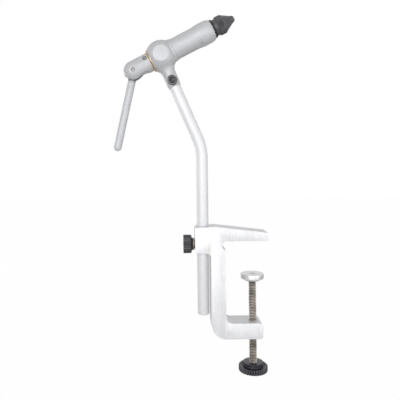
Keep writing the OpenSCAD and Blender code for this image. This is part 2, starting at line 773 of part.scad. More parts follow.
// One ring of points round the spring's wire, at turn t
function coil_ring(t) = let (
    a = 360 * t,
    mid = [spring_coil_r * cos(a), spring_coil_r * sin(a), spring_from_u + spring_pitch * t])
  [for (j = [0:spring_sides - 1]) let (b = 360 * j / spring_sides)
    mid + spring_wire_r * (cos(b) * [cos(a), sin(a), 0] + sin(b) * [0, 0, 1])];

// Compression spring, one unbroken wire
module return_spring() color("silver") on_head() {
  last = spring_turns * spring_rings;
  points = [for (i = [0:last]) each coil_ring(i / spring_rings)];
  sides = [for (i = [0:last - 1], j = [0:spring_sides - 1])
    let (k = (j + 1) % spring_sides, p = i * spring_sides, q = p + spring_sides)
      each [[p + j, q + j, q + k], [p + j, q + k, p + k]]];
  ends = [for (j = [1:spring_sides - 2])
    each [[0, j, j + 1], [last * spring_sides, last * spring_sides + j + 1,
                          last * spring_sides + j]]];
  polyhedron(points = points, faces = concat(sides, ends));
}

// Carrier with two round sockets for the heels of the jaws
module jaw_carrier() color("gray") on_head() difference() {
  bar(carrier_r, carrier_u, carrier_u + carrier_len);
  plain(rod_tenon_r + seat_fit, carrier_u - over, carrier_u + carrier_len / 2);
  for (side = [-1, 1]) translate([side * heel_v, 0, heel_u]) rotate([90, 0, 0])
    plain(heel_r + run_fit, -carrier_r - over, carrier_r + over);
  rotate(key_angle) translate([-key_dog_r - run_gap, -carrier_r - over, key_u - key_slot_len / 2])
    cube([2 * (key_dog_r + run_gap), carrier_r - key_dog_at + run_gap + over, key_slot_len]);
}

// Half of the collet as it stands when closed, with its heel's height at zero
module closed_jaw() {
  taper_end_u = nose_end_u - heel_u - close_push;
  taper_r = nose_hole_r - jaw_fit;
  taper = tan(nose_taper);
  intersection() {
    rotate_extrude() polygon([
      [0, jaw_root], [jaw_body_r - 3 * edge_break, jaw_root],
      [jaw_body_r, jaw_root + 3 * edge_break],
      [jaw_body_r, taper_end_u - (jaw_body_r - taper_r) / taper],
      [jaw_nub_r, taper_end_u + (taper_r - jaw_nub_r) / taper],
      [jaw_nub_r, jaw_len - jaw_tip_break], [jaw_nub_r - jaw_tip_break, jaw_len], [0, jaw_len]]);
    translate([-jaw_body_r - over, -jaw_body_r - over, 0])
      cube([jaw_body_r + over - jaw_face, 2 * (jaw_body_r + over), jaw_len + over]);
  }
  translate([-heel_v, 0, 0]) {
    rotate([90, 0, 0]) plain(heel_r, -heel_half_len, heel_half_len);
    translate([-heel_neck / 2, -carrier_r / 2, 0])
      cube([heel_neck, carrier_r, jaw_root + edge_break]);
  }
}

// Jaw swung open about its heel; side is 1 for the upper one
module open_jaw(side) on_head() rotate(side > 0 ? 0 : 180) translate([-heel_v, 0, heel_u])
  rotate([0, -jaw_open, 0]) translate([heel_v, 0, 0]) closed_jaw();

module upper_jaw() color("dimgray") open_jaw(1);
module lower_jaw() color("dimgray") open_jaw(-1);

// Nose: threaded tail, neck, knurled sleeve and cone, hollow for the collet
module nose_cone() color("dimgray") on_head() difference() {
  rotate_extrude() polygon([
    [0, barrel_end_u - tail_len], [tail_r, barrel_end_u - tail_len], [tail_r, ring_u],
    [neck_r, ring_u], [neck_r, sleeve_u], [sleeve_r - sleeve_break, sleeve_u],
    [sleeve_r, sleeve_u + sleeve_break], [sleeve_r, cone_u - edge_break],
    [sleeve_r - edge_break, cone_u], [nose_land_r, cone_u + cone_len],
    [nose_land_r, nose_end_u], [0, nose_end_u]]);
  rotate_extrude() polygon([
    [0, barrel_end_u - tail_len - over], [nose_bore_r, barrel_end_u - tail_len - over],
    [nose_bore_r, nose_end_u - (nose_bore_r - nose_hole_r) / tan(nose_taper)],
    [nose_hole_r, nose_end_u], [nose_hole_r, nose_end_u + over], [0, nose_end_u + over]]);
  notches(sleeve_notches, sleeve_r, fine_notch_r, sleeve_u - edge_break, cone_u + over);
}

module lock_ring() color("dimgray") on_head() difference() {
  tube(ring_r, neck_r + run_fit, ring_u, ring_u + ring_w);
  notches(ring_notches, ring_r, notch_r, ring_u - over, ring_u + ring_w + over);
}

clamp_frame();
stem_insert();
clamp_pad();
clamp_screw();
pad_rivet();
clamp_knob();
knob_pin();
lock_plug();
lock_stud();
lock_knob();
stem();
hub();
hub_screw();
rear_bushing();
front_bushing();
spindle();
front_collar();
barrel();
key_screw();
lever_housing();
housing_screw();
lever_pin();
cam();
lever_rod();
cam_roller();
roller_pin();
push_fork();
push_rod();
spring_seat();
return_spring();
jaw_carrier();
upper_jaw();
lower_jaw();
nose_cone();
lock_ring();
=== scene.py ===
"""Dressed scene of a rotary fly tying vise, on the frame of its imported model."""
import json
import math
from types import SimpleNamespace

import bmesh
import bpy
from mathutils import Matrix, Vector


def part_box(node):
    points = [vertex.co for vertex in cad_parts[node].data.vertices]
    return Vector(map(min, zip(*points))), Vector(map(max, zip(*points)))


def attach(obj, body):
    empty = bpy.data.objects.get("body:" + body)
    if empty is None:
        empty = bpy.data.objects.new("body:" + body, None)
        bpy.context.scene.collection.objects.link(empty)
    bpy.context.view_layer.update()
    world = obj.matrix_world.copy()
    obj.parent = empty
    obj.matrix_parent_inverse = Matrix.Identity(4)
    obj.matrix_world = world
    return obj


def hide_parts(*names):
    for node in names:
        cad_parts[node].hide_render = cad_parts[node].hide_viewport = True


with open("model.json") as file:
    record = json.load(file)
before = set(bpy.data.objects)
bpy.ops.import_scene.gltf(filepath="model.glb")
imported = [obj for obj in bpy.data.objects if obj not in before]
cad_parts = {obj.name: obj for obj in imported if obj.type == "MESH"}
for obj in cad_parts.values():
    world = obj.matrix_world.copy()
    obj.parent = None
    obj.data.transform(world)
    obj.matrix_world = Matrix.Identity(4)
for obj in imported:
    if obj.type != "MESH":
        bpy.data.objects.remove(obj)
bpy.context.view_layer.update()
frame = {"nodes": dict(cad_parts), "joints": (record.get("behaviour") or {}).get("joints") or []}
NODES = frame["nodes"]
JOINTS = {joint["name"]: joint for joint in frame["joints"]}

bl_info = {
    "name": "Fly Tying Vise",
    "version": (1, 0, 0),
    "blender": (4, 5, 0),
    "location": "View3D > Sidebar > Vise",
    "description": "Models and finishes the pieces of a rotary fly tying vise",
    "category": "Object",
}

MM = 0.001


# Frames that the pieces are drawn in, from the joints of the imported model

def joint_place(name):
    return Vector(JOINTS[name]["pos_m"])


HUB_CENTRE = joint_place("head_turn")
HEAD_AXIS = Vector(JOINTS["head_turn"]["axis"]).normalized()
HEAD_TILT = math.asin(HEAD_AXIS.z)
HEAD = Matrix.Translation(HUB_CENTRE) @ Matrix.Rotation(math.pi / 2 - HEAD_TILT, 4, "Y")
PIVOT = joint_place("lever_swing")
BLOCK_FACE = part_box("clamp_frame")[0].x
LOCK = (Matrix.Translation((BLOCK_FACE, 0, joint_place("lock_turn").z))
        @ Matrix.Rotation(-math.pi / 2, 4, "Y"))


def head_span(node):
    """First and last place of a node along the head's axis, in mm from the hub's middle."""
    places = [(v.co - HUB_CENTRE).dot(HEAD_AXIS) for v in NODES[node].data.vertices]
    return min(places) / MM, max(places) / MM


def leg_place():
    """Place of the hub's leg, whose axis runs down from the hub's middle."""
    lean = bpy.context.scene.vise_sizes.bend_angle
    return Matrix.Translation(HUB_CENTRE) @ Matrix.Rotation(math.pi - lean, 4, "Y")


def height_span(node):
    """Lowest and highest place of a node, in millimetres."""
    low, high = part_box(node)
    return low.z / MM, high.z / MM


# Sizes and colours that a user may change

def length(name, description, millimetres):
    return bpy.props.FloatProperty(name=name, description=description, default=millimetres * MM,
                                   min=0, unit="LENGTH", precision=5)


def diameter(name, piece, millimetres):
    return length(name, "Diameter of the " + piece, millimetres)


def tone(name, pieces, red, green, blue):
    return bpy.props.FloatVectorProperty(name=name, description="Colour of the " + pieces, size=3,
                                         min=0, max=1, subtype="COLOR", default=(red, green, blue))


class ViseSizes(bpy.types.PropertyGroup):
    """Sizes of the vise's visible pieces"""
    stem_d: diameter("Stem", "stem", 9.525)
    screw_d: diameter("Clamp screw", "clamp screw over its thread", 6.35)
    screw_pitch: length("Screw pitch", "Rise of the clamp screw's thread in one turn", 1.27)
    thread_depth: length("Thread depth", "Depth of the clamp screw's thread", 0.75)
    pad_d: diameter("Pad", "swivel pad", 18.6)
    wheel_d: diameter("Clamp wheel", "clamp knob's wheel", 23.6)
    disc_d: diameter("Clamp disc", "clamp knob's upper disc", 16.4)
    lock_knob_d: diameter("Thumb knob", "thumb knob", 15)
    ball_d: diameter("Ball", "hub's ball", 26)
    hub_w: length("Side flats", "Width of the hub across its side flats", 22.6)
    leg_d: diameter("Leg", "hub's leg", 11.2)
    leg_len: length("Leg length", "From the hub's middle to the end of its leg", 28)
    barrel_d: diameter("Barrel", "barrel at its swell", 18.9)
    waist_d: diameter("Barrel waist", "barrel's long waist", 17.7)
    housing_d: diameter("Lever housing", "lever housing", 15.8)
    lever_d: diameter("Lever", "lever", 6.35)
    ring_d: diameter("Lock ring", "lock ring", 15.5)
    neck_d: diameter("Neck", "nose's neck", 13.8)
    sleeve_d: diameter("Sleeve", "nose's knurled sleeve", 15.8)
    sleeve_len: length("Sleeve length", "Length of the nose's knurled sleeve", 6)
    cone_len: length("Cone length", "Length of the nose's cone", 7.1)
    knurl_depth: length("Knurl depth", "Depth of the sleeve's diamond knurl", 0.24)
    edge: length("Edge break", "Width of the broken edges", 0.3)
    bend_angle: bpy.props.FloatProperty(name="Bend", description="Angle of the stem's bend",
                                        default=math.radians(23.25), subtype="ANGLE")
    bend_r: length("Bend radius", "Centre-line radius of the stem's bend", 40)


class ViseColours(bpy.types.PropertyGroup):
    """Colours of the vise's finishes"""
    clamp: tone("Sawn aluminium", "clamp body", 0.75, 0.752, 0.77)
    turned: tone("Turned aluminium", "pad", 0.72, 0.72, 0.72)
    blasted: tone("Blasted aluminium", "hub, barrel, collar and housing", 0.53, 0.535, 0.552)
    anodised: tone("Black anodised", "thumb knob, ring and cap screw", 0.035, 0.034, 0.038)
    stem: tone("Drawn steel", "stem", 0.78, 0.782, 0.80)
    rod: tone("Threaded steel", "clamp screw", 0.09, 0.083, 0.075)
    lever: tone("Satin steel", "lever and its cam", 0.53, 0.535, 0.552)
    inner: tone("Turned steel", "inner pieces", 0.42, 0.42, 0.42)
    black: tone("Black oxide", "nose and the jaws", 0.085, 0.085, 0.09)
    spring: tone("Spring wire", "return spring", 0.40, 0.40, 0.40)
    set_screw: tone("Set screws", "housing's set screw and the pin", 0.42, 0.40, 0.37)
    bronze: tone("Bearing bronze", "bushings", 0.58, 0.40, 0.21)
    brass: tone("Plated brass", "stem block's insert", 0.55, 0.49, 0.40)
    nylon: tone("Nylon", "lock screw's soft plug", 0.80, 0.77, 0.70)
    floor: tone("Floor", "floor", 0.90, 0.90, 0.90)


def sizes():
    """The sizes, lengths in millimetres."""
    group = bpy.context.scene.vise_sizes
    values = {key: getattr(group, key) / MM for key in ViseSizes.__annotations__}
    values["bend_angle"] = group.bend_angle
    return SimpleNamespace(**values)


# Ways of working in edit mode

def start_clean():
    """Leave edit mode with nothing selected."""
    if bpy.context.object and bpy.context.object.mode != "OBJECT":
        bpy.ops.object.mode_set(mode="OBJECT")
    bpy.ops.object.select_all(action="DESELECT")


def pick(piece):
    """Make a piece the only one selected."""
    start_clean()
    piece.select_set(True)
    bpy.context.view_layer.objects.active = piece


def edit(piece):
    """Open a piece in edit mode with all of its vertices selected."""
    pick(piece)
    bpy.ops.object.mode_set(mode="EDIT")
    bpy.ops.mesh.select_mode(type="VERT")
    bpy.ops.mesh.select_all(action="SELECT")


def soften(corners, closed, steps=4):
    """Round the corners of a line of (a, b, radius) points; one without a radius stays sharp."""
    line = []
    count = len(corners)
    for index, corner in enumerate(corners):
        here = Vector(corner[:2])
        radius = corner[2] if len(corner) > 2 else 0
        if not radius or (not closed and index in (0, count - 1)):
            line.append(here)
            continue
        back = Vector(corners[index - 1][:2]) - here
        ahead = Vector(corners[(index + 1) % count][:2]) - here
        half = back.angle(ahead) / 2
        cut = min(radius / math.tan(half), 0.49 * back.length, 0.49 * ahead.length)
        first = here + back.normalized() * cut
        last = here + ahead.normalized() * cut
        inwards = (back.normalized() + ahead.normalized()).normalized()
        middle = here + inwards * cut / math.cos(half)
        reach = (first - middle).length
        for step in range(steps + 1):
            way = (first - middle).slerp(last - middle, step / steps)
            line.append(middle + way.normalized() * reach)
    return line


def arc(middle, radius, first, last, steps, skip=0):
    """Points of an arc between two angles, without its first ones where some are skipped."""
    angles = [first + (last - first) * step / steps for step in range(skip, steps + 1)]
    return [(middle[0] + radius * math.cos(a), middle[1] + radius * math.sin(a)) for a in angles]


def settle():
    """Keep the active piece's place, turn and scale in its mesh."""
    bpy.ops.object.transform_apply(location=True, rotation=True, scale=True)


def extrude(way):
    """Extrude the selection, by a way in metres."""
    bpy.ops.mesh.extrude_region_move(TRANSFORM_OT_translate={"value": way})


def choose(piece, test):
    """Select the vertices whose place, in millimetres, passes a test."""
    bpy.ops.mesh.select_all(action="DESELECT")
    mesh = bmesh.from_edit_mesh(piece.data)
    for v in mesh.verts:
        v.select_set(test(v.co / MM))
    mesh.select_flush_mode()
    bmesh.update_edit_mesh(piece.data)


def spoke(place, steps):
    """Number of the step of a turned piece that a place lies on."""
    return round(math.atan2(place.y, place.x) / (2 * math.pi) * steps)


def draw(name, points, closed):
    """Draw a line of points, in millimetres, from one vertex that is extruded along it."""
    start_clean()
    bpy.ops.mesh.primitive_plane_add(size=MM)
    piece = bpy.context.object
    piece.name = name
    piece.data.name = name
    bpy.ops.object.mode_set(mode="EDIT")
    bpy.ops.mesh.merge(type="CENTER")
    bpy.ops.transform.translate(value=Vector(points[0]) * MM)
    for here, there in zip(points, points[1:]):
        step = (Vector(there) - Vector(here)) * MM
        bpy.ops.mesh.extrude_vertices_move(TRANSFORM_OT_translate={"value": step})
    if closed:
        mesh = bmesh.from_edit_mesh(piece.data)
        mesh.edges.new([v for v in mesh.verts if len(v.link_edges) == 1])
        bmesh.update_edit_mesh(piece.data)
    bpy.ops.mesh.select_all(action="SELECT")
    return piece


def close_up():
    """Merge the open piece's doubles, point its faces outwards and leave edit mode."""
    bpy.ops.mesh.select_all(action="SELECT")
    bpy.ops.mesh.remove_doubles(threshold=0.002 * MM)
    bpy.ops.mesh.normals_make_consistent(inside=False)
    bpy.ops.object.mode_set(mode="OBJECT")


def turned(name, profile, closed=False, steps=96):
    """Turn a profile of (radius, place, rounding) round the Z axis, in millimetres."""
    line = [(p.x, 0, p.y) for p in soften(profile, closed)]
    piece = draw(name, line, closed)
    bpy.ops.mesh.spin(steps=steps, angle=2 * math.pi, center=(0, 0, 0), axis=(0, 0, 1))
    close_up()
    return piece


def slab(name, outline, depth):
    """Extrude an outline of (x, z, rounding) to both sides of y = 0, in millimetres."""
    line = [(p.x, -depth / 2, p.y) for p in soften(outline, True, 8)]
    piece = draw(name, line, True)
    bpy.ops.mesh.edge_face_add()
    extrude((0, depth * MM, 0))
    close_up()
    return piece


def modify(piece, kind, **settings):
    """Give a piece a modifier with its settings, and apply it."""
    pick(piece)
    change = piece.modifiers.new(kind.lower(), kind)
    for key, value in settings.items():
        setattr(change, key, value)
    bpy.ops.object.modifier_apply(modifier=change.name)


def combine(piece, other, operation="DIFFERENCE"):
    """Cut one piece with another, or join them, and drop the other."""
    modify(piece, "BOOLEAN", operation=operation, solver="EXACT", object=other)
    bpy.data.objects.remove(other)


def drill(piece, radius, first, last, sides=64):
    """Bore a piece with a cylinder between two places, in millimetres."""
    a = Vector(first) * MM
    b = Vector(last) * MM
    start_clean()
    bpy.ops.mesh.primitive_cylinder_add(vertices=sides, radius=radius * MM, depth=(b - a).length,
                                        location=(a + b) / 2,
                                        rotation=(b - a).to_track_quat("Z", "Y").to_euler())
    settle()
    combine(piece, bpy.context.object)


def trim(piece, place, normal):
    """Cut a piece flat, and drop what lies on the normal's side."""
    edit(piece)
    bpy.ops.mesh.bisect(plane_co=place, plane_no=normal, use_fill=True, clear_outer=True,
                        threshold=0.001 * MM)
    close_up()


def break_edges(piece, width, angle=35):
    """Bevel the sharp edges, width in millimetres."""
    modify(piece, "BEVEL", width=width * MM, segments=2, limit_method="ANGLE",
           angle_limit=math.radians(angle))


def shape_rim(piece, count, steps, factors, inner, first, last):
    """Notch a turned rim: each of its factors scales every vertex at that place of a notch."""
    edit(piece)
    share = steps // count
    for place, factor in enumerate(factors):
        if factor != 1:
            choose(piece, lambda v: (spoke(v, steps) % share == place
                                     and math.hypot(v.x, v.y) > inner and first < v.z < last))
            bpy.ops.transform.resize(value=(factor, factor, 1), center_override=(0, 0, 0))
    bpy.ops.object.mode_set(mode="OBJECT")


def knurl(piece, steps, depth, radius, first, last, rows):
    """Press every other vertex of a sleeve's grid inwards, which leaves rows of small diamonds."""
    edit(piece)
    pitch = (last - first) / rows

    def pressed(v):
        row = (v.z - first) / pitch
        on_grid = math.hypot(v.x, v.y) >= radius - 0.05 and -0.1 <= row <= rows + 0.1
        return on_grid and (spoke(v, steps) + round(row)) % 2 == 1

    choose(piece, pressed)
    share = (radius - depth) / radius
    bpy.ops.transform.resize(value=(share, share, 1), center_override=(0, 0, 0))
    mesh = bmesh.from_edit_mesh(piece.data)
    for face in mesh.faces:
        middle = face.calc_center_median() / MM
        inside = first < middle.z < last and math.hypot(middle.x, middle.y) > radius - 1
        face.select_set(inside)
    mesh.select_flush_mode()
    bmesh.update_edit_mesh(piece.data)
    bpy.ops.mesh.quads_convert_to_tris(quad_method="SHORTEST_DIAGONAL")
    bpy.ops.object.mode_set(mode="OBJECT")


def put(piece, place):
    """Move a piece drawn round the origin to its place, and keep that place in its mesh."""
    pick(piece)
    piece.matrix_world = place
    settle()


def hand_over(piece, material, body, slot, *nodes, angle=35):
    """Smooth and finish a piece, and let it ride for the CAD nodes that it replaces."""
    pick(piece)
    bpy.ops.object.shade_smooth_by_angle(angle=math.radians(angle))
    piece.data.materials.clear()
    piece.data.materials.append(material)
    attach(piece, body)
    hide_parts(*nodes)


# Finishes

def add_node(tree, kind, inputs, operation=None, data_type=None):
    """Add a shader node; each of its inputs is a value or another node's output."""
    made = tree.nodes.new(kind)
    if operation:
        made.operation = operation
    if data_type:
        made.data_type = data_type
    for socket, value in inputs.items():
        if isinstance(value, bpy.types.NodeSocket):
            tree.links.new(value, made.inputs[socket])
        else:
            made.inputs[socket].default_value = value
    return made


def maths(tree, operation, *values):
    """Work out a value from others."""
    made = add_node(tree, "ShaderNodeMath", dict(enumerate(values)), operation)
    return made.outputs["Value"]


def mapped(tree, value, low, high, to_low=0, to_high=1):
    """Map the span of a value from low to high onto another span."""
    made = add_node(tree, "ShaderNodeMapRange", {"Value": value, "From Min": low, "From Max": high,
                                                 "To Min": to_low, "To Max": to_high})
    return made.outputs["Result"]


def laid_over(tree, base, top, share):
    """Lay a colour over a base colour by its share."""
    made = add_node(tree, "ShaderNodeMix", {"Factor": share, 6: base, 7: (*top, 1)},
                    data_type="RGBA")
    return made.outputs[2]


def metal(name, colour, rough, metallic, grain, bump=0.15, centre=(0, 0, 0), turn=(0, 0, 0),
          tint=0.05, spread=0.08, worn=None, hollow=None, depth=0.06):
    """Metal with a grain of its own scale in each direction, in lines to the millimetre.

    The grain runs in the coordinates of a Mapping node that centres and turns it on the piece.
    worn is (inner radius, outer radius, colour) for a rim band painted in another colour: a painted
    highlight where lighter, painted shade where darker.
    hollow is (place, inner radius, outer radius, colour) for painted shade that darkens a piece
    within a radius of a place.
    """
    material = bpy.data.materials.new(name)
    material.use_nodes = True
    tree = material.node_tree
    shader = tree.nodes["Principled BSDF"].inputs
    shader["Metallic"].default_value = metallic
    where = tree.nodes.new("ShaderNodeTexCoord").outputs["Object"]
    centred = add_node(tree, "ShaderNodeMapping",
                       {"Vector": where, "Location": centre, "Rotation": turn})
    centred.vector_type = "TEXTURE"
    local = centred.outputs["Vector"]
    stretched = add_node(tree, "ShaderNodeMapping",
                         {"Vector": local, "Scale": [value / MM for value in grain]})
    lines = add_node(tree, "ShaderNodeTexNoise",
                     {"Vector": stretched.outputs["Vector"], "Scale": 1, "Detail": 4,
                      "Roughness": 0.65}).outputs["Fac"]
    cloud = add_node(tree, "ShaderNodeTexNoise",
                     {"Vector": local, "Scale": 140, "Detail": 3}).outputs["Fac"]
    blend = maths(tree, "MULTIPLY_ADD", lines, 0.7, maths(tree, "MULTIPLY", cloud, 0.3))
    paint = add_node(tree, "ShaderNodeValToRGB", {"Fac": blend})
    dark, light = paint.color_ramp.elements
    dark.position = 0.32
    light.position = 0.68
    dark.color = [max(0, c * (1 - tint)) for c in colour] + [1]
    light.color = [min(1, c * (1 + tint)) for c in colour] + [1]
    gloss = mapped(tree, blend, 0.3, 0.7, max(0.05, rough - spread), min(1, rough + spread))
    tree.links.new(gloss, shader["Roughness"])
    relief = add_node(tree, "ShaderNodeBump",
                      {"Height": lines, "Strength": bump, "Distance": depth * MM})
    tree.links.new(relief.outputs["Normal"], shader["Normal"])
    base = paint.outputs["Color"]
    # Painted light and shade: the rim band is laid in its colour, lighter as a painted highlight on
    # crests and rims, darker as painted shade at the edges of holes.
    if worn:
        inner, outer, rim_colour = worn
        flat = add_node(tree, "ShaderNodeVectorMath", {0: local, 1: (1, 1, 0)}, "MULTIPLY")
        radius = add_node(tree, "ShaderNodeVectorMath", {0: flat.outputs["Vector"]}, "LENGTH")
        rim = mapped(tree, radius.outputs["Value"], inner * MM, outer * MM)
        patches = mapped(tree, cloud, 0.35, 0.6, 0.35)
        base = laid_over(tree, base, rim_colour, maths(tree, "MULTIPLY", rim, patches))
    # Painted shade: darkens the colour near a place, for the shade inside a slot or a gap.
    if hollow:
        middle, inner, outer, shade = hollow
        reach = add_node(tree, "ShaderNodeVectorMath", {0: where, 1: middle}, "DISTANCE")
        inside = mapped(tree, reach.outputs["Value"], outer * MM, inner * MM)
        base = laid_over(tree, base, shade, inside)
    tree.links.new(base, shader["Base Color"])
    return material


def colour(name, share=1):
    """One of the colours, darker or lighter by a share."""
    return [c * share for c in getattr(bpy.context.scene.vise_colours, name)]


def placed(place):
    """Centre and turn of a grain that follows a place."""
    return tuple(place.translation), tuple(place.to_euler())


IN_HEAD = placed(HEAD)


def blasted(name, **more):
    """Bead-blasted aluminium, even and satin."""
    return metal(name, colour("blasted"), 0.54, 0.36, (3, 3, 3), 0.25, *IN_HEAD, 0.04, **more)


def black_steel(name, **more):
    """Black oxide with fine turning marks round the head's axis."""
    return metal(name, colour("black"), 0.36, 0.35, (0.4, 0.4, 6), 0.2, *IN_HEAD, 0.25, **more)


# Pieces of the clamp

class VISE_OT_clamp_body(bpy.types.Operator):
    """Saw the clamp body from its outline, bore it and break its edges"""
    bl_idname = "vise.clamp_body"
    bl_label = "Clamp Body"

    def execute(self, context):
        s = sizes()
        low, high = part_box("clamp_frame")
        low, high = low / MM, high / MM
        left = low.x
        stem_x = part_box("stem")[1].x / MM - s.stem_d / 2
        wall = 1.04
        spine_out = stem_x + s.stem_d / 2 + wall
        spine_in = -22.4
        front = 7
        throat = -65.7
        shelf = -9.7
        bore_play = 0.05
        lock_z = -3.2
        relief = 3.6
        groove = Vector((spine_in + 0.18 * relief, -0.95 * relief))
        start = math.pi / 2 - math.acos(-groove.y / relief)
        end = math.pi + math.acos((groove.x - spine_in) / relief)
        round_groove = arc(groove, relief, start, end, 16)
        outline = [(left, 10.9, 1.7), (spine_out + 3.93, high.z, 6), (high.x, 6.5, 0.8),
                   (high.x, 0, 0.8), *round_groove, (spine_in, throat, 5),
                   (front, throat, 3.4), (front, low.z, 2.6), (spine_out, low.z, 12),
                   (spine_out, shelf, 3.2), (left, shelf, 2.2)]
        body = slab("clamp_body", outline, high.y - low.y)
        drill(body, s.stem_d / 2 + bore_play, (stem_x, 0, -20), (stem_x, 0, 20), 96)
        drill(body, 3.52, (left - 2, 0, lock_z), (stem_x, 0, lock_z))
        drill(body, s.screw_d / 2 + bore_play, (0, 0, low.z - 2), (0, 0, throat + 2))
        break_edges(body, s.edge)
        finish = metal("sawn_aluminium", colour("clamp"), 0.45, 0.3, (1.5, 0.5, 0.05), 0.35,
                       tint=0.13, spread=0.12, depth=0.05)
        hand_over(body, finish, "frame", "clamp_aluminium", "clamp_frame")
        return {"FINISHED"}


class VISE_OT_clamp_screw(bpy.types.Operator):
    """Turn the clamp screw's thread with a Screw modifier and cut its two ends flat"""
    bl_idname = "vise.clamp_screw"
    bl_label = "Clamp Screw"

    def execute(self, context):
        s = sizes()
        low = height_span("clamp_screw")[0]
        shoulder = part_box("clamp_pad")[0].z / MM - 0.1
        crest = s.screw_d / 2
        root = crest - s.thread_depth
        pitch = s.screw_pitch
        rings = 24
        step = pitch / rings
        base = low - 48.4 * step
        places = [(root, 0), (root, 2), (crest, 11), (crest, 13), (root, 22), (root, rings)]
        line = [(radius, 0, base + place * step) for radius, place in places]
        rod = draw("clamp_thread", line, False)
        modify(rod, "SCREW", axis="Z", screw_offset=pitch * MM, steps=rings, render_steps=rings,
               iterations=math.ceil((shoulder - low) / pitch) + 4,
               use_merge_vertices=True, merge_threshold=0.01 * MM)
        trim(rod, (0, 0, shoulder * MM), (0, 0, 1))
        trim(rod, (0, 0, low * MM), (0, 0, -1))
        # Painted highlight: the thread's crests are painted much lighter than its roots.
        finish = metal("threaded_steel", colour("rod"), 0.36, 0.4, (0.6, 0.6, 1.5), 0.2,
                       tint=0.2, worn=(root + 0.15, crest - 0.1, (0.9, 0.83, 0.73)))
        hand_over(rod, finish, "screw", "rod_steel", "clamp_screw", angle=25)
        return {"FINISHED"}


class VISE_OT_clamp_pad(bpy.types.Operator):
    """Turn the swivel pad with its well"""
    bl_idname = "vise.clamp_pad"
    bl_label = "Clamp Pad"

    def execute(self, context):
        s = sizes()
        low, high = height_span("clamp_pad")
        neck = s.screw_d / 2 + 1.9
        rim = s.pad_d / 2
        profile = [(1.3, low), (neck, low, 0.2), (rim, high - 3.8, 0.3), (rim, high, 0.5),
                   (5.2, high, 0.2), (2.3, high - 0.15, 0.2), (2.3, high - 0.9), (1.3, high - 0.9)]
        pad = turned("swivel_pad", profile, True, 128)
        finish = metal("turned_aluminium", colour("turned"), 0.36, 0.7, (0.1, 0.1, 5), 0.2, tint=0.06)
        hand_over(pad, finish, "pad", "turned_aluminium", "clamp_pad")
        return {"FINISHED"}


class VISE_OT_clamp_knob(bpy.types.Operator):
    """Turn the clamp knob and notch its wheel and its disc"""
    bl_idname = "vise.clamp_knob"
    bl_label = "Clamp Knob"

    def execute(self, context):
        s = sizes()
        low, high = height_span("clamp_knob")
        wheel = s.wheel_d / 2
        disc = s.disc_d / 2
        top = high - 2.7
        bore = s.screw_d / 2 + 0.02
        groove = top - 0.9
        profile = [(0, low + 0.3), (3.2, low + 0.3, 0.2), (4, low, 0.3), (wheel, low, 0.6),
                   (wheel, top, 0.6), (wheel - 2, top, 0.2), (wheel - 2.4, groove, 0.2),
                   (disc + 0.1, groove, 0.1), (disc + 0.1, high - 1.6, 0.3),
                   (disc - 1.2, high - 1.6, 0.1), (disc - 1.2, high - 0.8, 0.1),
                   (disc, high - 0.8, 0.2), (disc, high, 0.25),
                   (bore + 0.8, high, 0.2), (bore, high - 0.5), (bore, low + 1.6), (0, low + 1.6)]
        steps = 216
        knob = turned("clamp_wheel", profile, steps=steps)
        shape_rim(knob, 36, steps, (0.925, 0.95, 0.99, 1, 0.99, 0.95), wheel - 0.75,
                  low - 1, top - 0.02)
        shape_rim(knob, 27, steps, (0.955, 0.97, 1, 1, 1, 1, 1, 0.97), disc - 0.35,
                  high - 0.85, high + 1)
        # Painted reflection: the wheel's black is a lighter copy of the anodising, for the white
        # reflected on its top face; its notched rim is painted lighter, a painted highlight.
        finish = metal("anodised_wheel", (0.045, 0.043, 0.056), 0.32, 0.35, (0.15, 0.15, 5), 0.2,
                       tint=0.3, worn=(wheel - 0.6, wheel, (0.11, 0.105, 0.12)))
        hand_over(knob, finish, "screw", "black_aluminium", "clamp_knob", angle=28)
        return {"FINISHED"}


class VISE_OT_stem_lock(bpy.types.Operator):
    """Turn the stem block's insert and the notched thumb knob"""
    bl_idname = "vise.stem_lock"
    bl_label = "Stem Lock"

    def execute(self, context):
        s = sizes()
        bore = 2.43
        step = 0.65
        top = 1.3
        profile = [(bore, -1.8), (3.5, -1.8, 0.2), (3.5, 0), (3.9, 0), (3.9, step),
                   (4.9, step, 0.1), (4.9, top, 0.2), (bore, top, 0.25)]
        insert = turned("lock_insert", profile, True)
        put(insert, LOCK)
        # Painted shade: the insert is painted near black inside its brass rim, for the shade in the
        # groove beside the thumb knob.
        brass = metal("plated_brass", (0.05, 0.045, 0.04), 0.42, 0.5, (0.3, 0.3, 3), 0.2,
                      *placed(LOCK), 0.08, worn=(4.2, 4.6, colour("brass")))
        hand_over(insert, brass, "frame", "bright_brass", "stem_insert")
        rim = s.lock_knob_d / 2
        profile = [(0, 7.9), (2.4, 7.9), (2.4, 1.4), (5, 1.4, 0.2), (5, 2.5, 0.2),
                   (rim - 1, 2.6, 0.2), (rim, 3.5, 0.3), (rim, 9.4, 0.5), (rim - 2, 9.4, 0.4),
                   (rim - 2.6, 9.1, 0.3), (0, 9.1)]
        steps = 180
        knob = turned("thumb_knob", profile, steps=steps)
        shape_rim(knob, 30, steps, (0.95, 0.965, 0.99, 1, 0.99, 0.965), rim - 0.75, 2.2, 9.45)
        put(knob, LOCK)
        # Painted highlight: the knob's notched rim is painted lighter.
        finish = metal("anodised_knob", colour("anodised"), 0.36, 0.3, (0.15, 0.15, 5), 0.2,
                       *placed(LOCK), 0.3, worn=(rim - 0.4, rim + 0.3, (0.10, 0.10, 0.105)))
        hand_over(knob, finish, "lock", "black_aluminium", "lock_knob", angle=28)
        return {"FINISHED"}


# Pieces of the post; the stem's spigot sits in the hub's leg, under the cap screw

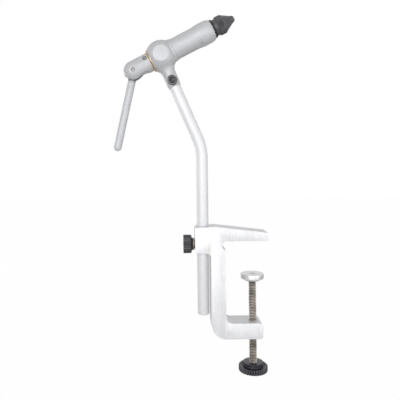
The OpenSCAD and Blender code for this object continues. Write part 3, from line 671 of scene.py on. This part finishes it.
SPIGOT_R = 4
SPIGOT_LEN = 15
CAP_SCREW_DOWN = 5.2    # from the end of the leg to the cap screw's axis
CAP_SEAT = 1.3          # depth of the cap screw's seat under the leg's skin
FLANGE = 0.85           # thickness of the rear bushing's flange
THIN_FLANGE = 0.5       # thickness of the front bushing's flange
BUSHING_BORE = 5.05
BUSHING_SKIN = 6.5
SPINDLE_PLAY = 5.02     # radius of the bores that sit on the spindle


class VISE_OT_stem(bpy.types.Operator):
    """Extrude the stem from a ring, spin its bend and extrude it on to its spigot"""
    bl_idname = "vise.stem"
    bl_label = "Stem"

    def execute(self, context):
        s = sizes()
        radius = s.stem_d / 2
        low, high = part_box("stem")
        x = high.x / MM - radius
        foot = low.z / MM
        foot_break = 0.9
        bend = s.bend_angle
        hub = HUB_CENTRE / MM
        along = Vector((-math.sin(bend), 0, math.cos(bend)))
        corner_z = hub.z - (x - hub.x) / math.tan(bend)
        setback = s.bend_r * math.tan(bend / 2)
        reach = (hub - Vector((x, 0, corner_z))).length
        start_clean()
        bpy.ops.mesh.primitive_circle_add(vertices=96, radius=(radius - foot_break) * MM,
                                          location=(x * MM, 0, foot * MM))
        stem = bpy.context.object
        stem.name = "round_stem"
        stem.data.name = "round_stem"
        settle()
        edit(stem)
        before = radius - foot_break
        for rise, grow in ((0.35, 0.62), (0.55, 0.28)):
            extrude((0, 0, rise * MM))
            share = (before + grow) / before
            bpy.ops.transform.resize(value=(share, share, 1), center_override=(x * MM, 0, 0))
            before = radius - 0.28
        extrude((0, 0, (corner_z - setback - foot - foot_break) * MM))
        bpy.ops.mesh.spin(steps=16, angle=bend, axis=(0, 1, 0),
                          center=((x - s.bend_r) * MM, 0, (corner_z - setback) * MM))
        extrude(along * (reach - setback - s.leg_len) * MM)
        end = Vector((x, 0, corner_z)) * MM + along * (reach - s.leg_len) * MM
        extrude((0, 0, 0))
        bpy.ops.transform.resize(value=(SPIGOT_R / radius,) * 3, center_override=end)
        extrude(along * SPIGOT_LEN * MM)
        bpy.ops.mesh.edge_face_add()
        choose(stem, lambda v: v.z < foot + 0.01)
        bpy.ops.mesh.edge_face_add()
        close_up()
        finish = metal("drawn_steel", colour("stem"), 0.56, 0.22, (0.9, 0.9, 0.02), 0.04,
                       tint=0.02, spread=0.04)
        hand_over(stem, finish, "post", "stem_steel", "stem")
        return {"FINISHED"}


class VISE_OT_hub(bpy.types.Operator):
    """Turn the ball and leg in one, cut the four flats and bore it"""
    bl_idname = "vise.hub"
    bl_label = "Hub"

    def execute(self, context):
        s = sizes()
        ball = s.ball_d / 2
        leg = s.leg_d / 2
        blend = 8
        rise = math.sqrt((ball + blend) ** 2 - (leg + blend) ** 2)
        meet = math.atan2(rise, leg + blend)
        profile = arc((0, 0), ball, -math.pi / 2, meet, 36)
        profile[0] = (0, -ball)
        profile += arc((leg + blend, rise), blend, meet + math.pi, math.pi, 12, 1)
        socket = SPIGOT_R + 0.02
        bottom = s.leg_len - SPIGOT_LEN - 0.1
        profile += [(leg, s.leg_len - 3.4, 3), (s.stem_d / 2 + 0.25, s.leg_len, 0.2),
                    (socket, s.leg_len), (socket, bottom), (0, bottom)]
        hub = turned("ball_hub", profile)
        place = leg_place()
        put(hub, place)
        side = s.hub_w / 2 * MM
        for sign in (-1, 1):
            trim(hub, (0, sign * side, 0), (0, sign, 0))
        rear = head_span("rear_bushing")[0] + FLANGE
        front = head_span("front_bushing")[1] - THIN_FLANGE
        trim(hub, HUB_CENTRE + HEAD_AXIS * front * MM, HEAD_AXIS)
        trim(hub, HUB_CENTRE + HEAD_AXIS * rear * MM, -HEAD_AXIS)
        centre = HUB_CENTRE / MM
        drill(hub, BUSHING_SKIN + 0.02, centre - HEAD_AXIS * 20, centre + HEAD_AXIS * 20, 96)
        screw = place @ Vector((0, 0, (s.leg_len - CAP_SCREW_DOWN) * MM)) / MM
        drill(hub, 4.6, screw + Vector((0, -(leg - CAP_SEAT), 0)), screw + Vector((0, -12, 0)))
        break_edges(hub, s.edge / 2, 21)
        hand_over(hub, blasted("blasted_hub"), "post", "blasted_aluminium", "hub", angle=20)
        return {"FINISHED"}


class VISE_OT_bearings(bpy.types.Operator):
    """Turn the two flanged bushings and the collar before the barrel"""
    bl_idname = "vise.bearings"
    bl_label = "Bearings"

    def execute(self, context):
        bronze = metal("bearing_bronze", colour("bronze"), 0.34, 0.7, (0.5, 0.5, 5), 0.2,
                       *IN_HEAD, 0.14)
        first, last = head_span("rear_bushing")
        shoulder = first + FLANGE
        profile = [(BUSHING_BORE, first), (9.4, first, 0.15), (9.4, shoulder, 0.15),
                   (BUSHING_SKIN, shoulder), (BUSHING_SKIN, last), (BUSHING_BORE, last)]
        rear = turned("rear_flange", profile, True)
        put(rear, HEAD)
        hand_over(rear, bronze, "post", "bronze", "rear_bushing")
        first, last = head_span("front_bushing")
        shoulder = last - THIN_FLANGE
        profile = [(BUSHING_BORE, first), (BUSHING_SKIN, first), (BUSHING_SKIN, shoulder),
                   (8, shoulder, 0.15), (8, last, 0.15), (BUSHING_BORE, last)]
        front = turned("front_flange", profile, True)
        put(front, HEAD)
        hand_over(front, bronze, "post", "bronze", "front_bushing")
        lip = last - 0.38
        first, last = head_span("front_collar")
        outer = sizes().barrel_d / 2 + 0.1
        profile = [(SPINDLE_PLAY, first), (8.2, first), (8.2, lip), (outer, lip, 0.2),
                   (outer, last, 0.3), (SPINDLE_PLAY, last)]
        collar = turned("front_collar_ring", profile, True)
        put(collar, HEAD)
        finish = metal("collar_aluminium", colour("blasted", 1.05), 0.6, 0.25, (0.4, 0.4, 5),
                       0.15, *IN_HEAD, 0.05)
        hand_over(collar, finish, "head", "blasted_aluminium", "front_collar")
        return {"FINISHED"}


# Pieces of the turning head

def screw_hole(piece, node, radius, reach):
    """Drill a set screw's hole, along its way out from the head's axis."""
    vertices = NODES[node].data.vertices
    middle = HEAD.inverted() @ (sum((v.co for v in vertices), Vector()) / len(vertices)) / MM
    way = Vector((middle.x, middle.y, 0)).normalized()
    axis = Vector((0, 0, sum(head_span(node)) / 2))
    drill(piece, radius, axis + way * 4, axis + way * reach, 40)


class VISE_OT_barrel(bpy.types.Operator):
    """Turn the barrel with its waist and swell, and drill its key screw's hole"""
    bl_idname = "vise.barrel"
    bl_label = "Barrel"

    def execute(self, context):
        s = sizes()
        first, last = head_span("barrel")
        full = s.barrel_d / 2
        waist = s.waist_d / 2
        swell = last - 11.2
        profile = [(SPINDLE_PLAY, first), (waist + 0.4, first, 0.4), (waist, first + 2.8, 8),
                   (waist, swell - 3.6, 14), (full, swell, 14)]
        crown = 10
        crown_len = 4.5
        for step in range(9):
            back = crown_len * step / 8
            drop = crown - math.sqrt(crown * crown - back * back)
            profile.append((full - drop, last - crown_len + back))
        profile += [(6.25, last, 0.2), (6.25, last - 5.3), (5.6, last - 5.3), (5.6, first + 18.6),
                    (2.6, first + 18.6), (2.6, first + 16.6), (4.6, first + 16.6),
                    (4.6, first + 6.6), (SPINDLE_PLAY, first + 6.6)]
        barrel = turned("blasted_barrel", profile, True, 128)
        screw_hole(barrel, "key_screw", 1.52, 14)
        break_edges(barrel, 0.15, 50)
        put(barrel, HEAD)
        hand_over(barrel, blasted("blasted_front"), "head", "blasted_aluminium", "barrel")
        return {"FINISHED"}


class VISE_OT_lever_housing(bpy.types.Operator):
    """Turn the lever housing, join its round end and cut the lever's slot and the scallop"""
    bl_idname = "vise.lever_housing"
    bl_label = "Lever Housing"

    def execute(self, context):
        s = sizes()
        radius = s.housing_d / 2
        front = head_span("lever_housing")[1]
        pin = HEAD.inverted() @ PIVOT / MM
        bottom = front - 3.75
        profile = [(0, pin.z), (radius, pin.z), (radius, front, 0.5),
                   (SPINDLE_PLAY, front, 0.3), (SPINDLE_PLAY, bottom), (0, bottom)]
        housing = turned("blasted_housing", profile)
        ball = (radius + 0.4) * MM
        start_clean()
        bpy.ops.mesh.primitive_uv_sphere_add(segments=128, ring_count=96, radius=ball,
                                             location=(0.35 * MM, 0, pin.z * MM))
        settle()
        combine(housing, bpy.context.object, "UNION")
        fork_x, fork_y = 2.7, 4.7
        box_low = Vector((-fork_x, -fork_y, pin.z + 3.8))
        box_high = Vector((fork_x, fork_y, front - 3.35))
        start_clean()
        bpy.ops.mesh.primitive_cube_add(size=1, location=(box_low + box_high) / 2 * MM,
                                        scale=(box_high - box_low) * MM)
        settle()
        combine(housing, bpy.context.object)
        scallop = radius + 3.9
        across = pin.z + 7.4
        drill(housing, 6, (scallop, -12, across), (scallop, 12, across), 128)
        screw_hole(housing, "housing_screw", 1.92, 12)
        put(housing, HEAD)
        side = s.lever_d / 2 + 0.3
        close, back = math.radians(46), math.radians(24)
        arm = 16
        ahead = Vector((side * math.cos(close), side * math.sin(close)))
        behind = Vector((-side * math.cos(back), side * math.sin(back)))
        sweep = [ahead, ahead + arm * Vector((math.sin(close), -math.cos(close))),
                 Vector((0, -2 * arm)),
                 behind + arm * Vector((-math.sin(back), -math.cos(back))), behind]
        wide = s.lever_d + 0.3
        cutter = slab("slot", sweep, wide)
        put(cutter, lever_line()[0])
        combine(housing, cutter)
        at = PIVOT / MM
        for radius, reach, sides in ((6.4, wide / 2 - 0.01, 96), (1.62, 12, 48)):
            drill(housing, radius, at - Vector((0, reach, 0)), at + Vector((0, reach, 0)), sides)
        break_edges(housing, 0.18, 40)
        # Painted shade: the housing is darkened close round the pivot, for the shade in the lever's
        # slot.
        finish = blasted("blasted_rear", hollow=(PIVOT, 7.0, 7.3, colour("anodised")))
        hand_over(housing, finish, "head", "blasted_aluminium", "lever_housing")
        return {"FINISHED"}


def lever_line():
    """Place of the lever at its pivot, and its reach, from the CAD lever's lowest end."""
    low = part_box("lever_rod")[0]
    radius = sizes().lever_d / 2 * MM
    end = Vector((low.x + radius, 0, low.z + radius))
    lean = math.atan2(PIVOT.x - end.x, PIVOT.z - end.z)
    return Matrix.Translation(PIVOT) @ Matrix.Rotation(lean, 4, "Y"), (PIVOT - end).length / MM


class VISE_OT_lever(bpy.types.Operator):
    """Turn the straight lever with its ball end"""
    bl_idname = "vise.lever"
    bl_label = "Lever"

    def execute(self, context):
        s = sizes()
        radius = s.lever_d / 2
        place, reach = lever_line()
        profile = [(0, -reach - radius), *arc((0, -reach), radius, -math.pi / 2, 0, 12, 1),
                   (radius, -9.6, 0.1), (1.7, -9.6), (1.7, -6.6), (0, -6.6)]
        lever = turned("straight_lever", profile)
        put(lever, place)
        finish = metal("satin_lever", colour("lever", 1.06), 0.55, 0.2, (0.3, 0.3, 0.02), 0.04,
                       *placed(place), 0.03, spread=0.04)
        hand_over(lever, finish, "lever", "lever_steel", "lever_rod")
        return {"FINISHED"}


def socket_screw(name, node, body, finish, slot, profile, across, depth, top, place, steps=72,
                 rim=None):
    """A turned screw with a hexagonal socket."""
    screw = turned(name, profile, steps=steps)
    if rim:
        shape_rim(screw, steps // 4, steps, (0.96, 0.98, 1, 0.98), *rim)
    drill(screw, across / math.sqrt(3), (0, 0, top - depth), (0, 0, top + 2), 6)
    break_edges(screw, 0.12, 50)
    put(screw, place)
    hand_over(screw, finish, body, slot, node, angle=30)


class VISE_OT_screws(bpy.types.Operator):
    """Turn the cap screw and the two set screws with their sockets, and the lever's pin"""
    bl_idname = "vise.screws"
    bl_label = "Screws and Pin"

    def execute(self, context):
        s = sizes()
        seat = s.leg_d / 2 - CAP_SEAT
        top = seat + 2.8
        down = Matrix.Translation((0, 0, (s.leg_len - CAP_SCREW_DOWN) * MM))
        leg = leg_place() @ down @ Matrix.Rotation(math.pi / 2, 4, "X")
        # Painted highlight: the head's face is painted lighter round its socket, which leaves the
        # socket darker.
        black = metal("cap_screw_steel", colour("anodised"), 0.34, 0.4, (2, 2, 2), 0.2,
                      *placed(leg), 0.25, worn=(2.4, 3.2, (0.11, 0.11, 0.11)))
        shank, head = 2.5, 4
        profile = [(0, -1.4), (shank, -1.4, 0.3), (shank, seat), (head, seat, 0.2),
                   (head, top, 0.5), (2.7, top, 0.1), (2.3, top - 0.3), (0, top - 0.3)]
        socket_screw("cap_screw", "hub_screw", "post", black, "black_steel", profile,
                     4, 1.4, top, leg, 96, (head - 0.2, seat + 0.3, top - 0.6))
        # Painted shade: the last colour of each pair is painted on the set screw's outer rim, for the
        # shade at the edge of its hole.
        key = ("key_set_screw", "key_screw", 1.5, colour("blasted", 0.92), colour("blasted", 0.72))
        grub = ("housing_set_screw", "housing_screw", 1.9, colour("set_screw"), colour("anodised"))
        for name, node, radius, face, ring in (key, grub):
            places = [HEAD.inverted() @ v.co / MM for v in NODES[node].data.vertices]
            middle = sum(places, Vector()) / len(places)
            way = Vector((middle.x, middle.y, 0)).normalized()
            outs = [p.x * way.x + p.y * way.y for p in places]
            along = sum(head_span(node)) / 2
            first, last = min(outs), max(outs)
            turn = way.to_track_quat("Z", "X").to_matrix().to_4x4()
            place = HEAD @ Matrix.Translation((0, 0, along * MM)) @ turn
            dog = [(0, first), (1, first, 0.2), (1, first + 0.75), (radius, first + 0.75, 0.1)]
            start = dog if node == "key_screw" else [(0, first), (radius, first, 0.2)]
            steel = metal(name + "_steel", face, 0.5, 0.2, (2, 2, 2), 0.2,
                          *placed(place), 0.12, worn=(radius * 0.5, radius * 0.72, ring))
            profile = [*start, (radius, last, 0.25), (0, last)]
            socket_screw(name, node, "head", steel, "inner_steel", profile,
                         radius * 0.75, radius * 0.6, last, place, 48)
        low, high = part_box("lever_pin")
        half = (high.y - low.y) / 2 / MM - 0.3
        radius = 1.6
        profile = [(0, -half + 0.15), (0.9, -half, 0.3), (radius, -half, 0.3),
                   (radius, half, 0.3), (0.9, half, 0.3), (0, half - 0.15)]
        pin = turned("round_pin", profile)
        place = Matrix.Translation(PIVOT) @ Matrix.Rotation(math.pi / 2, 4, "X")
        put(pin, place)
        # Painted shade: the pin's ends are painted dark at their rims, for the shade round its
        # recessed ends.
        finish = metal("pin_steel", colour("set_screw"), 0.5, 0.2, (0.5, 0.5, 5), 0.15,
                       *placed(place), 0.1, worn=(0.9, 1.25, colour("anodised")))
        hand_over(pin, finish, "head", "inner_steel", "lever_pin")
        return {"FINISHED"}


class VISE_OT_nose(bpy.types.Operator):
    """Turn the nose, press its diamond knurl, and notch the lock ring"""
    bl_idname = "vise.nose"
    bl_label = "Nose and Lock Ring"

    def execute(self, context):
        s = sizes()
        first, last = head_span("nose_cone")
        ring_first, ring_last = head_span("lock_ring")
        sleeve = s.sleeve_d / 2
        neck = s.neck_d / 2
        tip = 0.5
        cone = last - tip - s.cone_len
        back = cone - s.sleeve_len
        rows = 10
        steps = 120
        low, high = back + 1.2, cone - 0.4
        grid = [(sleeve, low + (high - low) * row / rows) for row in range(rows + 1)]
        taper = math.tan(math.radians(26))
        bore = 5.1
        mouth = 2.9
        profile = [(bore, first), (6.2, first, 0.2), (6.2, ring_first), (neck, ring_first, 0.1),
                   (neck, back), (sleeve - 1.2, back, 0.15), *grid, (sleeve - 0.4, cone, 0.1),
                   (mouth + 0.4, last - tip, 0.2), (mouth + 0.4, last, 0.2), (mouth, last),
                   (bore, last - (bore - mouth) / taper)]
        nose = turned("knurled_nose", profile, True, steps)
        knurl(nose, steps, s.knurl_depth, sleeve, low, high, rows)
        put(nose, HEAD)
        # Painted highlight: the sleeve's knurl crests are painted lighter.
        finish = black_steel("oxide_nose", worn=(sleeve - 0.12, sleeve + 0.1, (0.2, 0.2, 0.21)))
        hand_over(nose, finish, "nose", "black_steel", "nose_cone", angle=22)
        rim = s.ring_d / 2
        steps = 168
        inner = neck + 0.05
        profile = [(inner, ring_first), (rim, ring_first, 0.2), (rim, ring_last, 0.2),
                   (inner, ring_last)]
        ring = turned("notched_ring", profile, True, steps)
        shape_rim(ring, 28, steps, (0.925, 0.935, 1, 1, 1, 0.935), rim - 0.3,
                  ring_first - 1, ring_last + 1)
        put(ring, HEAD)
        # Painted highlight: the ring's teeth are painted lighter at their tops.
        finish = metal("oxide_ring", colour("anodised", 0.4), 0.45, 0.1, (0.4, 0.4, 6), 0.2,
                       *IN_HEAD, 0.25, worn=(rim - 0.3, rim, (0.045, 0.045, 0.047)))
        hand_over(ring, finish, "ring", "black_steel", "lock_ring", angle=30)
        return {"FINISHED"}


class VISE_OT_inner_pieces(bpy.types.Operator):
    """Finish the CAD pieces that stay, most of them inside the head"""
    bl_idname = "vise.inner_pieces"
    bl_label = "Inner Pieces"

    def execute(self, context):
        turned_steel = metal("turned_steel", colour("inner"), 0.32, 0.8, (0.5, 0.5, 4), 0.15,
                             *IN_HEAD, 0.12)
        # Painted shade: the cam is a darker copy of the lever's colour, and its neck is painted dark
        # round the pivot for the shade where it enters the housing's slot.
        cam_steel = metal("cam_steel", colour("lever", 0.85), 0.55, 0.2, (0.8, 0.8, 0.05), 0.12,
                          *placed(lever_line()[0]), 0.08,
                          hollow=(PIVOT, 8.6, 9.0, (0.14, 0.14, 0.145)))
        wire = metal("spring_wire", colour("spring"), 0.3, 0.8, (2, 2, 2), 0.1, tint=0.1)
        nylon = metal("plug_nylon", colour("nylon"), 0.6, 0.0, (1, 1, 1), 0.1, tint=0.04)
        rivet = metal("rivet_steel", colour("inner"), 0.3, 0.6, (0.5, 0.5, 3), 0.15, tint=0.1)
        jaw = black_steel("jaw_steel")
        finishes = dict.fromkeys(("knob_pin", "lock_stud", "spindle", "cam_roller", "roller_pin",
                                  "push_fork", "push_rod", "spring_seat", "jaw_carrier"),
                                 turned_steel)
        finishes.update(pad_rivet=rivet, lock_plug=nylon, cam=cam_steel, return_spring=wire,
                        upper_jaw=jaw, lower_jaw=jaw)
        for node, finish in finishes.items():
            piece = NODES[node]
            piece.data.materials.clear()
            piece.data.materials.append(finish)
        return {"FINISHED"}


# Stage

FLOOR_GLOW = 0.985      # share of plain white that the camera sees in the floor
WORLD_LIGHT = 0.4       # strength of the white world's light on the pieces
LAMPS = (               # name, place, aim, size and power
    ("key_lamp", (-0.3, -0.98, 0.13), (-0.04, 0, 0.03), 0.7, 5.5),
    ("fill_lamp", (0.6, -0.7, -0.02), (-0.04, 0, 0.05), 0.6, 2.4),
    ("back_lamp", (-0.85, 0.7, 0.02), (-0.04, 0, 0.03), 0.3, 1.6),
)
CAMERA_PLACE = (-0.0598, -0.361, 0.0583)
CAMERA_ROLL = math.radians(-0.65)


class VISE_OT_stage(bpy.types.Operator):
    """Lay the floor, hang the lamps and set the camera at the photograph's angle"""
    bl_idname = "vise.stage"
    bl_label = "Stage"

    def execute(self, context):
        scene = context.scene
        start_clean()
        bpy.ops.mesh.primitive_plane_add(size=6, location=(0, 0, -0.17))
        floor = bpy.context.object
        floor.name = "floor"
        settle()
        material = bpy.data.materials.new("pale_floor")
        material.use_nodes = True
        tree = material.node_tree
        shader = tree.nodes["Principled BSDF"]
        shader.inputs["Base Color"].default_value = (*colour("floor"), 1)
        shader.inputs["Roughness"].default_value = 0.8
        glow = add_node(tree, "ShaderNodeEmission", {"Color": (1, 1, 1, 1)})
        rays = tree.nodes.new("ShaderNodeLightPath")
        share = maths(tree, "MULTIPLY", rays.outputs["Is Camera Ray"], FLOOR_GLOW)
        mix = add_node(tree, "ShaderNodeMixShader", {"Fac": share, 1: shader.outputs["BSDF"],
                                                     2: glow.outputs["Emission"]})
        tree.links.new(mix.outputs["Shader"], tree.nodes["Material Output"].inputs["Surface"])
        floor.data.materials.append(material)
        scene.world = bpy.data.worlds.new("studio")
        scene.world.use_nodes = True
        tree = scene.world.node_tree
        rays = tree.nodes.new("ShaderNodeLightPath").outputs
        seen = maths(tree, "MAXIMUM", rays["Is Camera Ray"], rays["Is Glossy Ray"])
        white = maths(tree, "MAXIMUM", seen, rays["Is Transmission Ray"])
        level = mapped(tree, white, 0, 1, WORLD_LIGHT)
        background = tree.nodes["Background"].inputs
        background["Color"].default_value = (1, 1, 1, 1)
        tree.links.new(level, background["Strength"])
        for name, place, aim, size, power in LAMPS:
            lamp = bpy.data.lights.new(name, "AREA")
            lamp.energy = power
            lamp.size = size
            lamp_object = bpy.data.objects.new(name, lamp)
            scene.collection.objects.link(lamp_object)
            way = Vector(aim) - Vector(place)
            lamp_object.location = place
            lamp_object.rotation_euler = way.to_track_quat("-Z", "Y").to_euler()
        camera = bpy.data.cameras.new("camera")
        camera.sensor_width = 36
        camera.lens = 39.6
        camera.shift_x = 22 / 400
        camera.shift_y = -31 / 400
        camera_object = bpy.data.objects.new("camera", camera)
        scene.collection.objects.link(camera_object)
        camera_object.matrix_world = (Matrix.Translation(CAMERA_PLACE)
                                      @ Matrix.Rotation(math.pi / 2, 4, "X")
                                      @ Matrix.Rotation(CAMERA_ROLL, 4, "Z"))
        scene.camera = camera_object
        scene.view_settings.view_transform = "Standard"
        return {"FINISHED"}


class VISE_PT_pieces(bpy.types.Panel):
    """Pieces of the vise"""
    bl_idname = "VISE_PT_pieces"
    bl_label = "Fly Tying Vise"
    bl_space_type = "VIEW_3D"
    bl_region_type = "UI"
    bl_category = "Vise"

    def draw(self, context):
        for operator in OPERATORS:
            self.layout.operator(operator.bl_idname)
        for group in (context.scene.vise_sizes, context.scene.vise_colours):
            box = self.layout.box()
            for key in type(group).__annotations__:
                box.prop(group, key)


OPERATORS = (
    VISE_OT_clamp_body, VISE_OT_clamp_screw, VISE_OT_clamp_pad, VISE_OT_clamp_knob,
    VISE_OT_stem_lock, VISE_OT_stem, VISE_OT_hub, VISE_OT_bearings, VISE_OT_barrel,
    VISE_OT_lever_housing, VISE_OT_lever, VISE_OT_screws, VISE_OT_nose, VISE_OT_inner_pieces,
    VISE_OT_stage,
)
CLASSES = (ViseSizes, ViseColours, *OPERATORS, VISE_PT_pieces)


def register():
    for item in CLASSES:
        bpy.utils.register_class(item)
    bpy.types.Scene.vise_sizes = bpy.props.PointerProperty(type=ViseSizes)
    bpy.types.Scene.vise_colours = bpy.props.PointerProperty(type=ViseColours)


def unregister():
    del bpy.types.Scene.vise_colours
    del bpy.types.Scene.vise_sizes
    for item in reversed(CLASSES):
        bpy.utils.unregister_class(item)


def main():
    register()
    bpy.ops.vise.clamp_body()
    bpy.ops.vise.clamp_screw()
    bpy.ops.vise.clamp_pad()
    bpy.ops.vise.clamp_knob()
    bpy.ops.vise.stem_lock()
    bpy.ops.vise.stem()
    bpy.ops.vise.hub()
    bpy.ops.vise.bearings()
    bpy.ops.vise.barrel()
    bpy.ops.vise.lever_housing()
    bpy.ops.vise.lever()
    bpy.ops.vise.screws()
    bpy.ops.vise.nose()
    bpy.ops.vise.inner_pieces()
    bpy.ops.vise.stage()
    start_clean()


if __name__ == "__main__":
    main()
